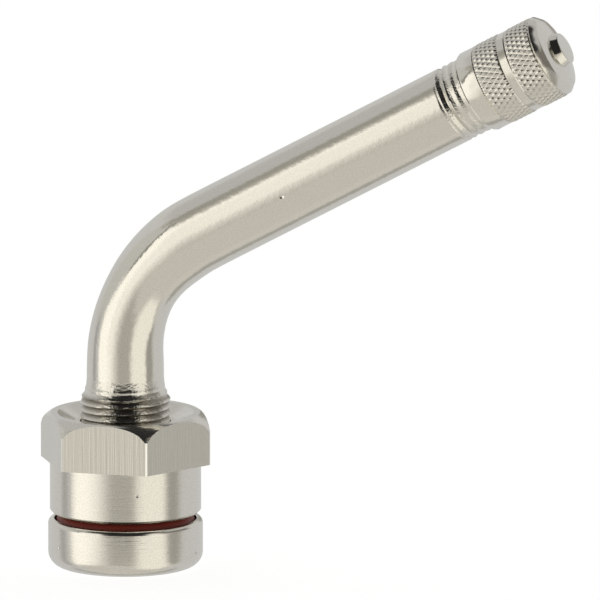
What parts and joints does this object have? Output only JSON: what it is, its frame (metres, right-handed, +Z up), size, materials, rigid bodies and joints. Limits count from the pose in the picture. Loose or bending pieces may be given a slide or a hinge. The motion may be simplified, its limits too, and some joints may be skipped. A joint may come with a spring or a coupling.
{
  "type": "tyre valve",
  "caption": "Bent metal tyre valve with a round base, ring seal, hexagonal clamp nut, angled stem, spring-loaded core and knurled screw cap.",
  "frame": {"origin": "centre of the base's underside, on the axis of the shank", "axes": "+Z up the shank, through the rim; +X the way the stem leans; the stem bends in the XZ plane"},
  "size_m": [0.0541, 0.0152, 0.0565],
  "materials": {
    "nickel_plate": "nickel plated brass, satin, with turning lines",
    "core_brass": "bare turned brass",
    "red_rubber": "dull red rubber",
    "black_rubber": "black rubber",
    "white_plastic": "white plastic",
    "spring_steel": "drawn spring wire"
  },
  "bodies": {
    "stem": {"valve_stem": "nickel_plate", "base_o_ring": "red_rubber", "core_plug": "core_brass", "core_barrel": "core_brass", "barrel_gasket": "white_plastic", "core_spring": "spring_steel"},
    "nut": {"clamp_nut": "nickel_plate"},
    "seal": {"cap_seal": "black_rubber"},
    "cap": {"valve_cap": "nickel_plate"},
    "pin": {"core_pin": "core_brass", "core_cup": "core_brass", "cup_seal": "black_rubber"}
  },
  "joints": [
    {"name": "nut_travel", "type": "slide", "parent": "stem", "child": "nut", "axis": [0, 0, 1], "range_m": [0, 0.006]},
    {"name": "cap_lift", "type": "slide", "parent": "stem", "child": "seal", "axis": [0.8776, 0, 0.4795], "range_m": [0, 0.00953]},
    {"name": "cap_turn", "type": "hinge", "parent": "seal", "child": "cap", "pos_m": [0.04168, 0, 0.05202], "axis": [0.8776, 0, 0.4795], "range_deg": [0, 4325]},
    {"name": "pin_press", "type": "slide", "parent": "stem", "child": "pin", "axis": [-0.8776, 0, -0.4795], "range_m": [0, 0.0012], "stiffness_N_per_m": 500, "springref_m": -0.004, "deforming": ["core_spring"]}
  ],
  "couplings": [
    {"joint": "cap_turn", "follows": "cap_lift", "rad_per_m": 7915.8}
  ]
}
